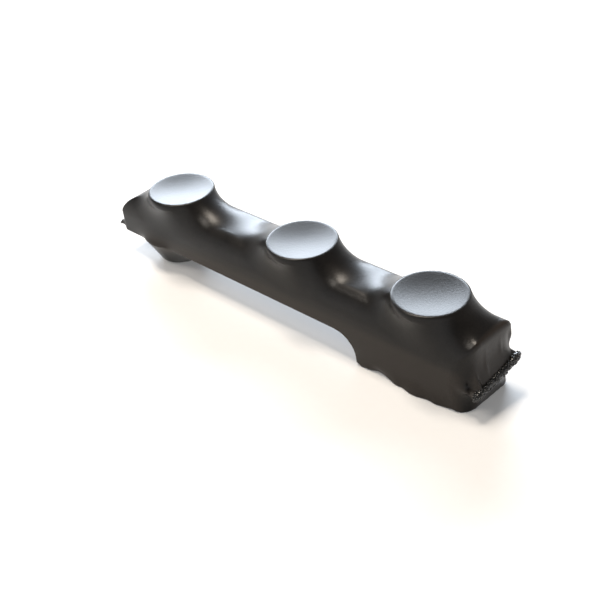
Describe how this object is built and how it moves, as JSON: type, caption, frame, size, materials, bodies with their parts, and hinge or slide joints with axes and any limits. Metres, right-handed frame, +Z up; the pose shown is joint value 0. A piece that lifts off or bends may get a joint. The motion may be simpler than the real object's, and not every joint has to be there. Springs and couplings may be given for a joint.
{
  "type": "finger exerciser",
  "caption": "Low bar-shaped finger exerciser: round dished finger pads press down on springs, in a black elastic sleeve shrunk over the bar and its feet and pinched shut at the ends.",
  "frame": {"origin": "on the surface the feet stand on, under the middle of the whole length", "axes": "+X along the bar towards the long foot block, +Y across the bar, +Z up out of the pads"},
  "size_m": [0.197, 0.0294, 0.0377],
  "materials": {
    "sleeve_rubber": "satin",
    "bar": "matte",
    "foot": "matte",
    "pad": "matte",
    "plunger": "satin",
    "bush": "satin",
    "spring": "satin",
    "dowel": "satin",
    "seal": "gloss"
  },
  "bodies": {
    "root": {"spine": "bar", "foot_block": "foot", "foot_stud": "foot", "foot_dowels": "dowel", "sleeve": "sleeve_rubber", "end_seal_left": "seal", "end_seal_right": "seal", "guide_bush_left": "bush", "guide_bush_middle": "bush", "guide_bush_right": "bush", "spring_left": "spring", "spring_middle": "spring", "spring_right": "spring"},
    "pad_left": {"finger_pad_left": "pad", "plunger_left": "plunger", "pad_membrane_left": "sleeve_rubber"},
    "pad_middle": {"finger_pad_middle": "pad", "plunger_middle": "plunger", "pad_membrane_middle": "sleeve_rubber"},
    "pad_right": {"finger_pad_right": "pad", "plunger_right": "plunger", "pad_membrane_right": "sleeve_rubber"}
  },
  "joints": [
    {"name": "press_left", "type": "slide", "parent": "root", "child": "pad_left", "axis": [0, 0, -1], "range_m": [0, 0.003], "stiffness_N_per_m": 1200, "springref_m": -0.003, "deforming": ["pad_membrane_left", "spring_left"]},
    {"name": "press_middle", "type": "slide", "parent": "root", "child": "pad_middle", "axis": [0, 0, -1], "range_m": [0, 0.003], "stiffness_N_per_m": 1200, "springref_m": -0.003, "deforming": ["pad_membrane_middle", "spring_middle"]},
    {"name": "press_right", "type": "slide", "parent": "root", "child": "pad_right", "axis": [0, 0, -1], "range_m": [0, 0.003], "stiffness_N_per_m": 1200, "springref_m": -0.003, "deforming": ["pad_membrane_right", "spring_right"]}
  ]
}
